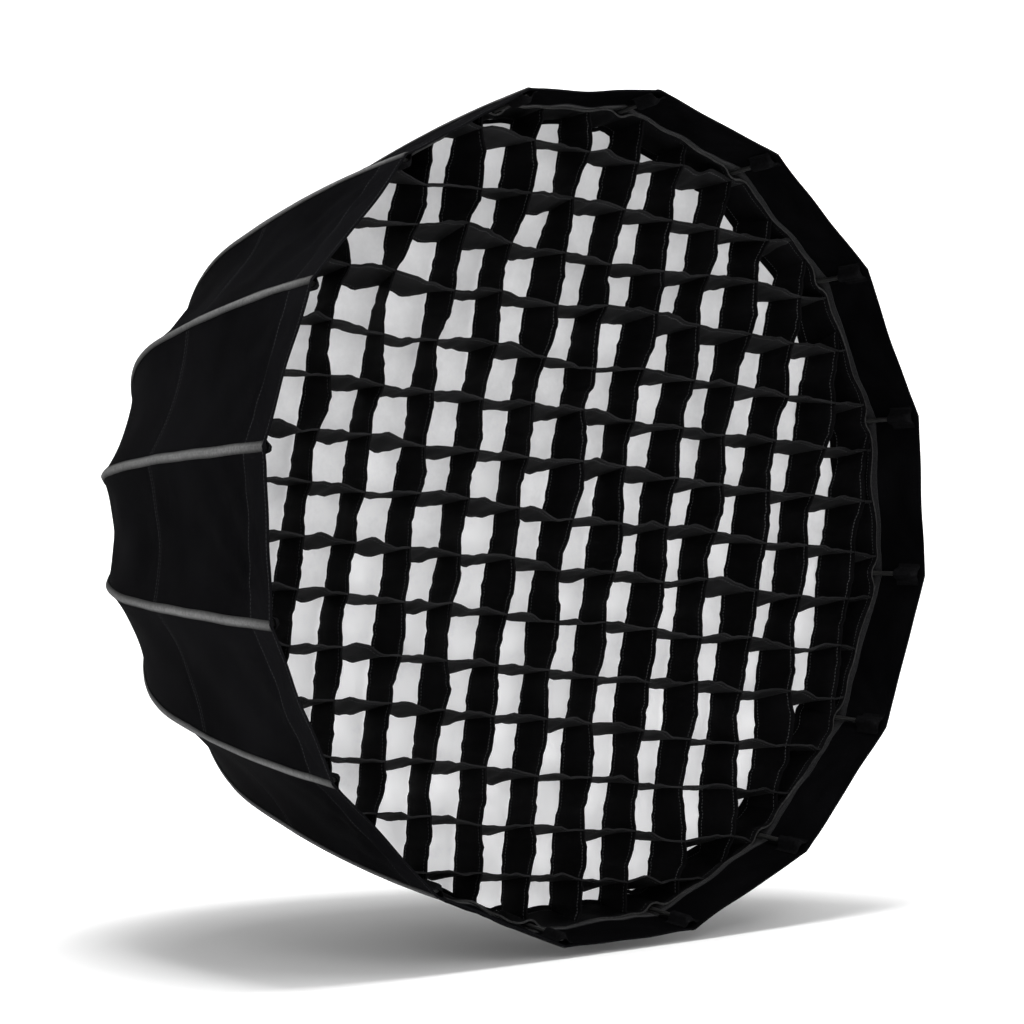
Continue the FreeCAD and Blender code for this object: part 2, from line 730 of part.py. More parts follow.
doc.recompute()
for thing in doc.Objects:
    if "Invalid" in thing.State or "Error" in thing.State:
        raise RuntimeError("%s failed: %s" % (thing.Name, thing.State))
labels = [p.Label for p in parts]
if len(labels) != len(set(labels)):
    raise RuntimeError("two sub-parts share a name")
os.makedirs("parts", exist_ok=True)
for part in parts:
    if part.Shape.isNull() or not part.Shape.isValid():
        raise RuntimeError("%s has no valid shape" % part.Label)
    part.Shape.exportStep("parts/%s.step" % part.Label)
    print("%-20s %2d solids %9.1f mm3" % (part.Label, len(part.Shape.Solids), part.Shape.Volume))
print(len(parts), "sub-parts, front edge at y = %.2f" % front_y)
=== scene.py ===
"""Looks of the deep parabolic softbox: shell, tapes, diffuser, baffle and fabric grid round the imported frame.

Metres, in the row frame: the optical axis is Y, the mouth looks towards -Y and +Z is up.
"""
import bmesh
import bpy
from math import atan2, cos, pi, radians, sin
import numpy as np
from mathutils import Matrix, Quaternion, Vector


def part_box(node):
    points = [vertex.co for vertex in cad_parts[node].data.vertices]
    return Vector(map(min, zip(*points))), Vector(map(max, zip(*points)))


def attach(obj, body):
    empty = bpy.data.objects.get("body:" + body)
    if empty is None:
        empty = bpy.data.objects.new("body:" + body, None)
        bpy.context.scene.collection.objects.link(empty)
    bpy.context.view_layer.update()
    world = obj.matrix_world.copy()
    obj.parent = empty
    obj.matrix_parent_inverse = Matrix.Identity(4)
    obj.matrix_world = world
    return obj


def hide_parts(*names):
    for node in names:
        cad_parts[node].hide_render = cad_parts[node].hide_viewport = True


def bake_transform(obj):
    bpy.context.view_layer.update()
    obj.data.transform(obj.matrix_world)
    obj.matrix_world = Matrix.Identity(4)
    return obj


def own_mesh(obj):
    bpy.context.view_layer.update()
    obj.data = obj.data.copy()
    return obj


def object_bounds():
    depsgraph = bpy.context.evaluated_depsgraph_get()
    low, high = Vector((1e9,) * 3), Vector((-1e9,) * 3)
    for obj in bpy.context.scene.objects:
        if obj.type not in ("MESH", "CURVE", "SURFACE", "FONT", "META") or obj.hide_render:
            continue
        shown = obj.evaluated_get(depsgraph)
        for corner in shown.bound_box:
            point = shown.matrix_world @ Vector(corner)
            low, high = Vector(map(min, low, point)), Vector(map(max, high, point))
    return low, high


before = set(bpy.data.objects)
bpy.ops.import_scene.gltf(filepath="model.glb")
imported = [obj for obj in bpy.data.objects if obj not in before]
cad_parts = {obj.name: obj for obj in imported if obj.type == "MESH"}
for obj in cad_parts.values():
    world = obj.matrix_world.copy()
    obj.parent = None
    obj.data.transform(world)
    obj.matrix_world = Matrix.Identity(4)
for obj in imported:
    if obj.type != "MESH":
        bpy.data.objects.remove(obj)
cad_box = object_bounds()
MM = 0.001
rng = np.random.default_rng(16)

# ---- driving sizes, as in the CAD model

RIBS = 16
STEP = 2 * pi / RIBS
HALF = STEP / 2
MOUTH = 450 * MM  # corner radius of the front edge
BOWS = ((8.3, 17.5, 395 * MM), (17.5, 57.0, 322 * MM), (57.0, 90.0, 41 * MM))  # angle, angle, length
SHELL_END_RADIUS = 92 * MM
CLOTH = 1.4 * MM
HEM = 48 * MM
CROSS_SEAM = 300 * MM
GRID_SETBACK = 62 * MM
GRID_DEPTH = 50 * MM
COLUMN_PITCH = 67.7 * MM
ROW_PITCH = 54.9 * MM
PIVOT_RADIUS = 92 * MM
BAFFLE_CORNER = 250 * MM
TAPE_HALF = 5.5 * MM
STRAP_HALF = 8 * MM
SIDE_LENGTH = 0.17  # one of the mouth's sixteen sides, rounded

FRONT_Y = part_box("canopy_hem")[0][1]
DIFFUSER_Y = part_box("diffuser")[0][1]
BAFFLE_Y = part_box("inner_baffle")[0][1]
GRID_Y = FRONT_Y + GRID_SETBACK
ARC_LENGTH = sum(length for _, _, length in BOWS)


def profile(s):
    """Depth, corner radius and slope at a distance s along the shell from the front edge (arrays)."""
    s = np.asarray(s, float)
    depth = np.zeros_like(s)
    radius = np.full_like(s, MOUTH)
    slope = np.full_like(s, radians(BOWS[0][0]))
    left = s.copy()
    for number, (start, end, length) in enumerate(BOWS):
        a, b = radians(start), radians(end)
        bend = length / (b - a)
        run = np.minimum(left, length)
        if number > 0:  # only the first bow runs on ahead of the front edge
            run = np.maximum(run, 0)
        angle = a + run / bend
        depth += bend * (np.sin(angle) - sin(a))
        radius -= bend * (cos(a) - np.cos(angle))
        slope = np.where(left > 0, angle, slope)
        left = left - length
    radius -= np.maximum(left, 0)
    return depth, radius, slope


SHELL_LENGTH = ARC_LENGTH + float(profile(ARC_LENGTH)[1]) - SHELL_END_RADIUS


def rib_angle(k):
    return STEP * (k + 0.5)


def outward(angle):
    return np.array([cos(angle), 0.0, sin(angle)])


def sideways(angle):
    return np.array([-sin(angle), 0.0, cos(angle)])


def put(name, data):
    """A new object in the scene."""
    obj = bpy.data.objects.new(name, data)
    bpy.context.scene.collection.objects.link(obj)
    return obj


# ---- materials

def new_material(name, color, roughness, **sockets):
    """A Principled material and its place in the object's own metres.

    Sockets are set by their names with _ for a space."""
    material = bpy.data.materials.new(name)
    material.use_nodes = True
    shader = material.node_tree.nodes["Principled BSDF"]
    shader.inputs["Base Color"].default_value = (*color, 1)
    shader.inputs["Roughness"].default_value = roughness
    for key, value in sockets.items():
        shader.inputs[key.replace("_", " ")].default_value = value
    tree = material.node_tree
    return material, tree, shader, add(tree, "ShaderNodeTexCoord").outputs["Object"]


def add(tree, kind, **values):
    node = tree.nodes.new(kind)
    for key, value in values.items():
        if key in node.inputs:
            node.inputs[key].default_value = value
        else:
            setattr(node, key, value)
    return node


def calc(tree, operation, a, b=None, clamp=False):
    """The output of a math node; a and b are sockets or numbers."""
    node = tree.nodes.new("ShaderNodeMath")
    node.operation = operation
    node.use_clamp = clamp
    for index, value in enumerate((a, b)):
        if value is None:
            continue
        if isinstance(value, (int, float)):
            node.inputs[index].default_value = value
        else:
            tree.links.new(value, node.inputs[index])
    return node.outputs[0]


def mix_color(tree, factor, a, b):
    """A colour between a and b; each is a socket or a colour."""
    node = tree.nodes.new("ShaderNodeMix")
    node.data_type = "RGBA"
    sockets = {s.identifier: s for s in node.inputs}
    wanted = {"Factor_Float": factor, "A_Color": a, "B_Color": b}
    for name, value in wanted.items():
        socket = sockets[name]
        if isinstance(value, (tuple, list)):
            socket.default_value = (*value, 1)
        elif isinstance(value, (int, float)):
            socket.default_value = value
        else:
            tree.links.new(value, socket)
    return [s for s in node.outputs if s.identifier == "Result_Color"][0]


def split(tree, vector):
    """The three parts of a vector."""
    node = add(tree, "ShaderNodeSeparateXYZ")
    tree.links.new(vector, node.inputs[0])
    return node.outputs[0], node.outputs[1], node.outputs[2]


def noise(tree, vector, scale, detail=3.0, roughness=0.55):
    node = add(tree, "ShaderNodeTexNoise", Scale=scale, Detail=detail, Roughness=roughness)
    tree.links.new(vector, node.inputs["Vector"])
    return node.outputs["Fac"]


def ramp(tree, value, low, high):
    """value taken from low..high to 0..1."""
    node = add(tree, "ShaderNodeMapRange")
    node.inputs["From Min"].default_value = low
    node.inputs["From Max"].default_value = high
    tree.links.new(value, node.inputs["Value"])
    return node.outputs["Result"]


def two_tone(tree, vector, scale, low, high, dark, light, detail=3.0):
    """A colour that drifts between dark and light."""
    return mix_color(tree, ramp(tree, noise(tree, vector, scale, detail), low, high), dark, light)


def paint(tree, shader, color):
    tree.links.new(color, shader.inputs["Base Color"])


def cloth_uv(tree):
    """Distance across and along the cloth, in metres."""
    across, along, _ = split(tree, add(tree, "ShaderNodeUVMap", uv_map="cloth").outputs[0])
    return across, along


def weave(tree, across, along, pitch):
    """Height of a plain weave: threads over and under in turn."""
    turn = 2 * pi / pitch
    a = calc(tree, "SINE", calc(tree, "MULTIPLY", across, turn))
    b = calc(tree, "SINE", calc(tree, "MULTIPLY", along, turn))
    return calc(tree, "MULTIPLY", a, b)


def bump(tree, shader, height, distance, strength=1.0, under=None):
    node = add(tree, "ShaderNodeBump", Strength=strength, Distance=distance)
    tree.links.new(height, node.inputs["Height"])
    if under is not None:
        tree.links.new(under, node.inputs["Normal"])
    tree.links.new(node.outputs[0], shader.inputs["Normal"])
    return node.outputs[0]


def stitch_line(tree, across, along, place, pitch=4.2 * MM, width=0.45 * MM):
    """1 on the threads of a row of stitches that runs along the cloth at across = place."""
    near = calc(tree, "LESS_THAN", calc(tree, "ABSOLUTE", calc(tree, "SUBTRACT", across, place)), width)
    beat = calc(tree, "FRACT", calc(tree, "DIVIDE", along, pitch))
    on = calc(tree, "LESS_THAN", beat, 0.62)
    return calc(tree, "MULTIPLY", near, on)


def nylon(name, dark, light, roughness, stitches=()):
    """Black woven nylon with soft colour variation, creases and rows of stitches across the gore."""
    material, tree, shader, coat = new_material(name, dark, roughness, Specular_IOR_Level=0.0015)
    across, along = cloth_uv(tree)
    color = two_tone(tree, coat, 9.0, 0.35, 0.7, dark, light)
    for place in stitches:
        color = mix_color(tree, stitch_line(tree, along, across, place), color, (0.03, 0.03, 0.032))
    paint(tree, shader, color)
    crease = bump(tree, shader, noise(tree, coat, 20.0, 2.0), 1.2 * MM, 0.25)
    bump(tree, shader, weave(tree, across, along, 0.9 * MM), 0.05 * MM, 0.6, crease)
    return material


def silver_lining():
    """Pebbled reflective coating on the inside of the shell."""
    material, tree, shader, coat = new_material("silver_lining", (0.62, 0.62, 0.63), 0.38, Metallic=0.75)
    paint(tree, shader, two_tone(tree, coat, 14.0, 0.3, 0.75, (0.55, 0.55, 0.56), (0.7, 0.7, 0.71)))
    across, along = cloth_uv(tree)
    pebble = bump(tree, shader, noise(tree, coat, 420.0, 2.0), 0.25 * MM, 0.5)
    bump(tree, shader, weave(tree, across, along, 1.4 * MM), 0.06 * MM, 0.5, pebble)
    return material


def webbing(name, dark, light, pitch, painted_end_shade_keep=1.0, half=None):
    """Woven tape: a coarse rib across it and thread-by-thread colour; if asked, painted shade towards its ends
    and along its edges, as if light fell off along and across a rounded tape.
    """
    material, tree, shader, coat = new_material(name, dark, 0.85, Specular_IOR_Level=0.02)
    across, along = cloth_uv(tree)
    grain = ramp(tree, noise(tree, coat, 300.0, 2.0), 0.3, 0.7)
    patch = ramp(tree, noise(tree, coat, 11.0), 0.25, 0.8)
    color = mix_color(tree, grain, dark, light)
    color = mix_color(tree, calc(tree, "MULTIPLY", patch, 0.4), color, tuple(0.6 * c for c in dark))
    # painted shade: darker right at the front end and more and more so towards the rear, as light falls off
    # along the tape
    ends = calc(tree, "ADD", ramp(tree, along, 0.07, 0.0), ramp(tree, along, 0.26, 0.62), True)
    color = mix_color(tree, calc(tree, "MULTIPLY", ends, 1 - painted_end_shade_keep), color, tuple(0.3 * c for c in dark))
    if half is not None:
        # painted shade: darker towards both edges, so that the middle reads as the lit crown of a rounded tape
        painted_edge_shade = ramp(tree, calc(tree, "ABSOLUTE", across), 0.22 * half, 0.98 * half)
        color = mix_color(tree, calc(tree, "MULTIPLY", painted_edge_shade, 0.9), color, tuple(0.08 * c for c in dark))
    paint(tree, shader, color)
    ridges = calc(tree, "SINE", calc(tree, "MULTIPLY", along, 2 * pi / pitch))
    first = bump(tree, shader, ridges, 0.12 * MM, 0.7)
    bump(tree, shader, weave(tree, across, along, pitch * 0.8), 0.08 * MM, 0.6, first)
    return material


def diffusion_cloth(name, bright, dim, painted_glow):
    """White translucent cloth: a fine weave, faint mottling, a painted glow that stands in for light through
    it, and painted shade that darkens it higher up.
    """
    material, tree, shader, coat = new_material(name, bright, 0.75, Subsurface_Weight=0.0)
    cloud = ramp(tree, noise(tree, coat, 16.0, 4.0, 0.6), 0.32, 0.72)
    fleck = ramp(tree, noise(tree, coat, 240.0, 2.0), 0.3, 0.7)
    color = mix_color(tree, cloud, dim, bright)
    color = mix_color(tree, calc(tree, "MULTIPLY", fleck, 0.16), color, tuple(0.8 * c for c in dim))
    # painted shade: higher up, the colour (and with it the glow) is darkened, as if less light reached the
    # upper cloth
    height = ramp(tree, split(tree, coat)[2], -0.30, 0.34)
    color = mix_color(tree, calc(tree, "MULTIPLY", height, 0.55), color, tuple(0.62 * c for c in dim))
    paint(tree, shader, color)
    # painted glow: the cloth gives off light in its own colour, though there is no lamp behind it
    tree.links.new(color, shader.inputs["Emission Color"])
    shader.inputs["Emission Strength"].default_value = painted_glow
    across, along = cloth_uv(tree)
    first = bump(tree, shader, noise(tree, coat, 60.0, 3.0), 0.5 * MM, 0.4)
    bump(tree, shader, weave(tree, across, along, 1.1 * MM), 0.05 * MM, 0.5, first)
    return material


def grid_nylon(name, dark, light):
    """Black nylon of the grid strips: stitches near both edges and soft rub marks."""
    material, tree, shader, coat = new_material(name, dark, 0.7, Specular_IOR_Level=0.02)
    across, along = cloth_uv(tree)
    color = two_tone(tree, coat, 22.0, 0.3, 0.75, dark, light)
    for place in (4.5 * MM, GRID_DEPTH - 4.5 * MM):
        color = mix_color(tree, stitch_line(tree, along, across, place, 3.6 * MM, 0.5 * MM), color,
                          (0.05, 0.05, 0.052))
    paint(tree, shader, color)
    crease = bump(tree, shader, noise(tree, coat, 55.0, 4.0), 1.0 * MM, 0.45)
    bump(tree, shader, weave(tree, across, along, 0.8 * MM), 0.05 * MM, 0.6, crease)
    return material


def loop_pile():
    """The loop side of touch fastener."""
    sockets = {"Sheen_Weight": 0.08, "Specular_IOR_Level": 0.1}
    material, tree, shader, coat = new_material("loop_pile", (0.006, 0.006, 0.0065), 0.95, **sockets)
    color = two_tone(tree, coat, 500.0, 0.3, 0.7, (0.003, 0.003, 0.0035), (0.012, 0.012, 0.013))
    paint(tree, shader, color)
    bump(tree, shader, noise(tree, coat, 700.0, 2.0), 0.5 * MM, 0.8)
    return material


def hard_surface(name, base, roughness, tones, scales, rough_range, depth, strength, **sockets):
    """Plastic or metal with a soft change of tone, an uneven gloss and a fine grain, at three scales."""
    material, tree, shader, coat = new_material(name, base, roughness, **sockets)
    tone_scale, gloss_scale, grain_scale = scales
    paint(tree, shader, two_tone(tree, coat, tone_scale, 0.3, 0.8, *tones))
    tree.links.new(ramp(tree, noise(tree, coat, gloss_scale), *rough_range), shader.inputs["Roughness"])
    bump(tree, shader, noise(tree, coat, grain_scale, 2.0), depth, strength)
    return material


def turned_metal(name, dark, light, roughness):
    """Bright metal turned about the optical axis: fine rings and faint wear."""
    material, tree, shader, coat = new_material(name, light, roughness, Metallic=1.0)
    x, y, z = split(tree, coat)
    square = calc(tree, "ADD", calc(tree, "MULTIPLY", x, x), calc(tree, "MULTIPLY", z, z))
    feed = calc(tree, "ADD", calc(tree, "SQRT", square), y)
    rings = calc(tree, "SINE", calc(tree, "MULTIPLY", feed, 2 * pi / (0.6 * MM)))
    paint(tree, shader, two_tone(tree, coat, 40.0, 0.3, 0.75, dark, light, 4.0))
    tree.links.new(ramp(tree, noise(tree, coat, 90.0), -1.0 + roughness, 2.6), shader.inputs["Roughness"])
    bump(tree, shader, rings, 0.015 * MM, 0.5)
    return material


def fibre_rod():
    """Pultruded rod: fine streaks along it."""
    material, tree, shader, coat = new_material("fibre_rod", (0.02, 0.02, 0.02), 0.4, Specular_IOR_Level=0.25)
    stretch = add(tree, "ShaderNodeMapping")
    stretch.inputs["Scale"].default_value = (1.0, 0.06, 1.0)
    tree.links.new(coat, stretch.inputs["Vector"])
    streak = ramp(tree, noise(tree, stretch.outputs[0], 700.0, 3.0), 0.3, 0.75)
    paint(tree, shader, mix_color(tree, streak, (0.006, 0.006, 0.0064), (0.02, 0.02, 0.019)))
    bump(tree, shader, streak, 0.05 * MM, 0.5)
    return material


SHELL = nylon("shell_nylon", (0.0022, 0.0022, 0.0025), (0.0038, 0.0038, 0.0043), 0.75,
              stitches=(CROSS_SEAM - 3 * MM, CROSS_SEAM + 3 * MM))
HEM_NYLON = nylon("hem_nylon", (0.0028, 0.0028, 0.0032), (0.0048, 0.0048, 0.0054), 0.75,
                  stitches=(3 * MM, HEM - 3.5 * MM))
LIP = nylon("lip_nylon", (0.0012, 0.0012, 0.0014), (0.0024, 0.0024, 0.0027), 0.85)
SILVER = silver_lining()
# the seam tapes' darker ends and edges are painted shade
GREY_TAPE = webbing("grey_webbing", (0.095, 0.095, 0.095), (0.16, 0.16, 0.16), 1.6 * MM, 0.4, TAPE_HALF)
BLACK_TAPE = webbing("black_webbing", (0.0018, 0.0018, 0.002), (0.0045, 0.0045, 0.005), 1.5 * MM)
PALE_EDGE = webbing("pale_binding", (0.018, 0.018, 0.018), (0.045, 0.045, 0.045), 1.2 * MM)
# the front cloth's glow of 0.48 is painted light; the inner cloth gets none
FRONT_CLOTH = diffusion_cloth("front_diffusion", (0.92, 0.92, 0.93), (0.64, 0.64, 0.65), 0.48)
INNER_CLOTH = diffusion_cloth("inner_diffusion", (0.84, 0.84, 0.84), (0.76, 0.76, 0.76), 0.0)
COLUMN_NYLON = grid_nylon("column_nylon", (0.0013, 0.0013, 0.0015), (0.0034, 0.0034, 0.0037))
# painted light: the rows are the same black nylon as the columns, made several times lighter as if lit from
# above and by the floor
ROW_NYLON_PAINTED_LIGHTER = grid_nylon("row_nylon_painted_lighter", (0.006, 0.006, 0.0063), (0.014, 0.014, 0.0146))
PILE = loop_pile()
PLASTIC = hard_surface("moulded_plastic", (0.022, 0.022, 0.023), 0.48,
                       ((0.018, 0.018, 0.019), (0.034, 0.034, 0.036)), (18.0, 60.0, 900.0), (-1.0, 2.2),
                       0.06 * MM, 0.6)
ANODISED = hard_surface("black_anodised", (0.03, 0.03, 0.032), 0.36,
                        ((0.022, 0.022, 0.024), (0.055, 0.055, 0.058)), (30.0, 140.0, 1400.0), (-0.9, 2.4),
                        0.03 * MM, 0.5, Metallic=0.8)
ALUMINIUM = turned_metal("turned_aluminium", (0.40, 0.40, 0.41), (0.54, 0.54, 0.55), 0.3)
STEEL = turned_metal("zinc_steel", (0.42, 0.42, 0.43), (0.62, 0.62, 0.63), 0.34)
FIBRE = fibre_rod()


# ---- cloth meshes

def cloth(name, points, normals, faces, uvs, thick, materials, below=0.5, inner_slots=None):
    """A closed cloth of even thickness about a surface. below is the share of it that lies under the points.

    materials are one material or (outer, inner, rim), and inner_slots may give each face's inner material."""
    if not isinstance(materials, tuple):
        materials = (materials,) * 3
    points, normals = np.asarray(points, float), np.asarray(normals, float)
    thick = np.broadcast_to(thick, (len(points),))[:, None]
    count = len(points)
    outer = points + normals * thick * (1 - below)
    inner = points - normals * thick * below
    edge_use = {}
    for face in faces:
        for a, b in zip(face, face[1:] + face[:1]):
            edge_use[(a, b)] = edge_use.get((a, b), 0) + 1
    rims = [(a, b) for a, b in edge_use if (b, a) not in edge_use]
    polygons = [tuple(f) for f in faces]
    polygons += [tuple(i + count for i in reversed(f)) for f in faces]
    polygons += [(b, a, a + count, b + count) for a, b in rims]
    mesh = bpy.data.meshes.new(name)
    mesh.from_pydata(np.vstack([outer, inner]).tolist(), [], polygons)
    unique = list(dict.fromkeys(materials))
    for material in unique:
        mesh.materials.append(material)
    indices = [unique.index(m) for m in materials[:3]]
    slots = [indices[0]] * len(faces)
    if inner_slots is None:
        slots += [indices[1]] * len(faces)
    else:
        slots += [unique.index(m) for m in inner_slots]
    slots += [indices[2]] * len(rims)
    mesh.polygons.foreach_set("material_index", slots)
    mesh.polygons.foreach_set("use_smooth", [True] * len(polygons))
    layer = mesh.uv_layers.new(name="cloth")
    corner_points = np.array([v for p in polygons for v in p])
    layer.uv.foreach_set("vector", np.asarray(uvs, float)[corner_points % count].ravel())
    both = np.vstack([normals, -normals])
    corner_normals = both[corner_points]
    body_corners = sum(len(f) for f in faces) * 2
    spots = np.vstack([outer, inner])
    for index, (a, b) in enumerate(rims):
        along = spots[b] - spots[a]
        side = np.cross(along, spots[a + count] - spots[a])
        length = np.linalg.norm(side)
        side = side / length if length > 1e-12 else both[a]
        corner_normals[body_corners + 4 * index:body_corners + 4 * index + 4] = -side
    mesh.normals_split_custom_set(corner_normals.tolist())
    mesh.validate()
    return put(name, mesh)


def flat_uv(width, length, rows, columns):
    """Cloth coordinates of a strip whose rows run across it and whose columns run along it."""
    grid = np.meshgrid(np.linspace(0, width, rows), np.linspace(0, length, columns), indexing="ij")
    return np.stack(grid, axis=-1)


def ring_quad(ring, spoke, spokes):
    """The face between two rings of points and two spokes."""
    here, beside = ring * spokes + spoke, ring * spokes + (spoke + 1) % spokes
    return here, beside, beside + spokes, here + spokes


def lattice(rows, columns):
    """Quads of a rows x columns lattice of points."""
    return [(r * columns + c, r * columns + c + 1, (r + 1) * columns + c + 1, (r + 1) * columns + c)
            for r in range(rows - 1) for c in range(columns - 1)]


def lattice_normals(grid, towards=None):
    """Unit normals of a lattice of points, shape (rows, columns, 3), turned towards a direction if given."""
    down = np.gradient(grid, axis=0)
    right = np.gradient(grid, axis=1)
    normals = np.cross(right, down)
    normals = normals / np.maximum(np.linalg.norm(normals, axis=2, keepdims=True), 1e-12)
    middle = normals[grid.shape[0] // 2, grid.shape[1] // 2]
    if towards is not None and np.dot(middle, towards) < 0:
        normals = -normals
    return normals


def facing_front(grid):
    """Normals that all look forwards."""
    return np.broadcast_to([0.0, -1.0, 0.0], grid.shape)


def outward_faces(points, normals, rows, columns):
    """Lattice quads that turn the same way as the normals."""
    faces = lattice(rows, columns)
    first = faces[len(faces) // 2]
    a, b, c = (np.asarray(points)[first[i]] for i in range(3))
    if np.dot(np.cross(b - a, c - b), np.asarray(normals)[first[0]]) < 0:
        faces = [tuple(reversed(f)) for f in faces]
    return faces


def lattice_cloth(name, grid, normals, uvs, thick, material, below=0.5):
    """A closed cloth from a lattice of points, shape (rows, columns, 3)."""
    points, normals = grid.reshape(-1, 3), normals.reshape(-1, 3)
    faces = outward_faces(points, normals, *grid.shape[:2])
    return cloth(name, points, normals, faces, uvs.reshape(-1, 2), thick, material, below)


# ---- shell

WAVES = 5
gore_phase = rng.uniform(0, 2 * pi, (RIBS, WAVES))
gore_rate = rng.uniform(0.7, 1.3, (RIBS, WAVES))
gore_force = rng.uniform(0.5, 1.2, (RIBS, 4))


def slack(gore, s, w):
    """How far the cloth of a gore stands in from flat: the hollow between two ribs and its soft wrinkles.

    w runs from 0 at one rib to 1 at the next."""
    width = 2 * sin(HALF) * profile(s)[1]
    open_share = 4 * w * (1 - w)
    hollow = 10 * MM * open_share * np.clip(s / 0.34, 0.08, 1) * np.clip((SHELL_LENGTH - s) / 0.25, 0, 1)
    total = hollow
    for corner in (0, 1):
        across = (w if corner == 0 else 1 - w) * width
        reach = np.hypot(across, s)
        fan = np.arctan2(across, s + 0.004)
        p, q = gore_phase[gore, corner], gore_rate[gore, corner]
        pull = np.exp(-((reach - 0.13) / 0.10) ** 2)
        fan_wave = pull * np.sin(fan * 15 * q + p)
        total = total + 1.5 * MM * gore_force[gore, corner] * fan_wave * open_share ** 0.7
    for index, along, aside, pitch, height in ((2, 1.0, 0.9, 0.16, 1.3 * MM), (3, 0.8, -1.3, 0.11, 0.8 * MM)):
        p, q = gore_phase[gore, index], gore_rate[gore, index]
        slant_wave = np.sin((s * along + (w - 0.5) * width * aside) * 2 * pi / (pitch * q) + p)
        total = total + height * gore_force[gore, index] * slant_wave * open_share
    seam = np.exp(-((s - CROSS_SEAM) / (6 * MM)) ** 2) + 0.8 * np.exp(-((s - HEM) / (4 * MM)) ** 2)
    return total + 0.8 * MM * seam * open_share ** 0.5


def shell_points(k, s, u, lift=0.0):
    """Points on the outer face of the cloth round rib k. u is -1 to 1, from one gore's middle to the next."""
    s, u = np.broadcast_arrays(np.asarray(s, float), np.asarray(u, float))
    depth, radius, slope = profile(s)
    side = np.where(u < 0, -1.0, 1.0)
    share = np.abs(u)
    angle = rib_angle(k)
    mid = angle + side * HALF
    w = np.where(u < 0, 1 - share / 2, share / 2)
    dent = np.where(u < 0, slack((k - 1) % RIBS, s, w), slack(k, s, w)) - lift
    x = radius * ((1 - share) * cos(angle) + share * np.cos(mid) * cos(HALF))
    z = radius * ((1 - share) * sin(angle) + share * np.sin(mid) * cos(HALF))
    x = x - dent * np.cos(slope) * np.cos(mid)
    z = z - dent * np.cos(slope) * np.sin(mid)
    y = FRONT_Y + depth - dent * np.sin(slope)
    return np.stack([x, y, z], axis=-1)


def rib_normal(k, slope):
    """Straight out from the shell at rib k."""
    return outward(rib_angle(k)) * np.cos(slope) + np.array([0, 1.0, 0]) * np.sin(slope)


def shell_patch(k, s_values, u_values, lift=0.0):
    """Points, outward normals and cloth coordinates of a patch of shell."""
    s, u = np.meshgrid(s_values, u_values, indexing="ij")
    step = 0.4 * MM
    points = shell_points(k, s, u, lift)
    inside = np.clip(u, -0.985, 0.985)
    down = shell_points(k, s + step, inside, lift) - shell_points(k, s - step, inside, lift)
    right = shell_points(k, s, inside + 0.01, lift) - shell_points(k, s, inside - 0.01, lift)
    normals = np.cross(down, right)
    normals = normals / np.maximum(np.linalg.norm(normals, axis=2, keepdims=True), 1e-12)
    away = rib_normal(k, profile(s)[2][..., None])
    normals = normals * np.sign((normals * away).sum(axis=2, keepdims=True))
    width = sin(HALF) * profile(s)[1]
    uv = np.stack([u * width + k * 0.4, s], axis=-1)
    return points.reshape(-1, 3), normals.reshape(-1, 3), uv.reshape(-1, 2)


PATH = np.linspace(0, SHELL_LENGTH, 400)
PATH_DEPTH, PATH_RADIUS, PATH_SLOPE = profile(PATH)


def polygon_radius(angle, corner):
    """Distance from the axis to the side of a sixteen-sided figure."""
    away = (angle + HALF) % STEP - HALF
    return corner * cos(HALF) / np.cos(away)


def inner_reach(angle, depth, gap=0.0, round_rods=True):
    """Distance from the axis to the inside of the shell at a depth, less a gap, drawn in round the rods."""
    s = float(np.interp(depth, PATH_DEPTH, PATH))
    corner, slope = float(np.interp(s, PATH, PATH_RADIUS)), float(np.interp(s, PATH, PATH_SLOPE))
    gore = int(np.floor(angle / STEP - 0.5)) % RIBS
    away = (angle + HALF) % STEP - HALF
    w = 0.5 + 0.5 * np.tan(away) / np.tan(HALF)
    reach = polygon_radius(angle, corner) - (float(slack(gore, s, w)) + CLOTH + gap) / cos(slope)
    if round_rods:
        aside = corner * (HALF - abs(away))
        reach -= 10.5 * MM * np.exp(-(aside / (11 * MM)) ** 2)
    return reach


ACROSS = np.linspace(-1, 1, 33)
FOLD_TURN = radians(27)
PIVOT_Y = -31 * MM
BAND_STARTS = np.array([0, 48, 130, 215, 300, 390, 490, 600, 675, 728]) * MM
DARK_LIP = 125 * MM  # no silver on the inside this far from the front
CLAMP_RADII = (100 * MM, 126 * MM)  # where the cloth bends, between clamp and ribs


def closed_share(s):
    """The share of its width that a gore keeps at s, so that folded gores still meet."""
    depth, radius, _ = (float(v) for v in profile(s))
    ahead = PIVOT_Y - (FRONT_Y + depth)
    closed = PIVOT_RADIUS + (radius - PIVOT_RADIUS) * cos(FOLD_TURN) - ahead * sin(FOLD_TURN)
    valley = radius * sin(HALF) ** 2 + 7 * MM * min(1, s / 0.1)
    return min(1.0, (closed - valley) / (radius - valley))


def bands():
    """Name, start, end, kept share and CAD node of each stretch of shell that gathers on its own."""
    edges = [*BAND_STARTS, ARC_LENGTH]
    for number, (start, end) in enumerate(zip(edges, edges[1:])):
        seam = "hem" if end <= HEM else "front" if end <= CROSS_SEAM else "rear"
        node = {"hem": "canopy_hem", "front": "canopy_front_gores", "rear": "canopy_rear_gores"}[seam]
        yield "gore_%s_%d" % (seam, number), start, end, min(1.0, closed_share(end) * 1.05), node
    yield "gore_root", ARC_LENGTH, SHELL_LENGTH, None, "canopy_rear_gores"


def fold_in(piece, k, keep):
    """The piece turns with rib k and keeps a mesh of its own."""
    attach(piece, "rib_%02d" % (k + 1))
    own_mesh(piece)


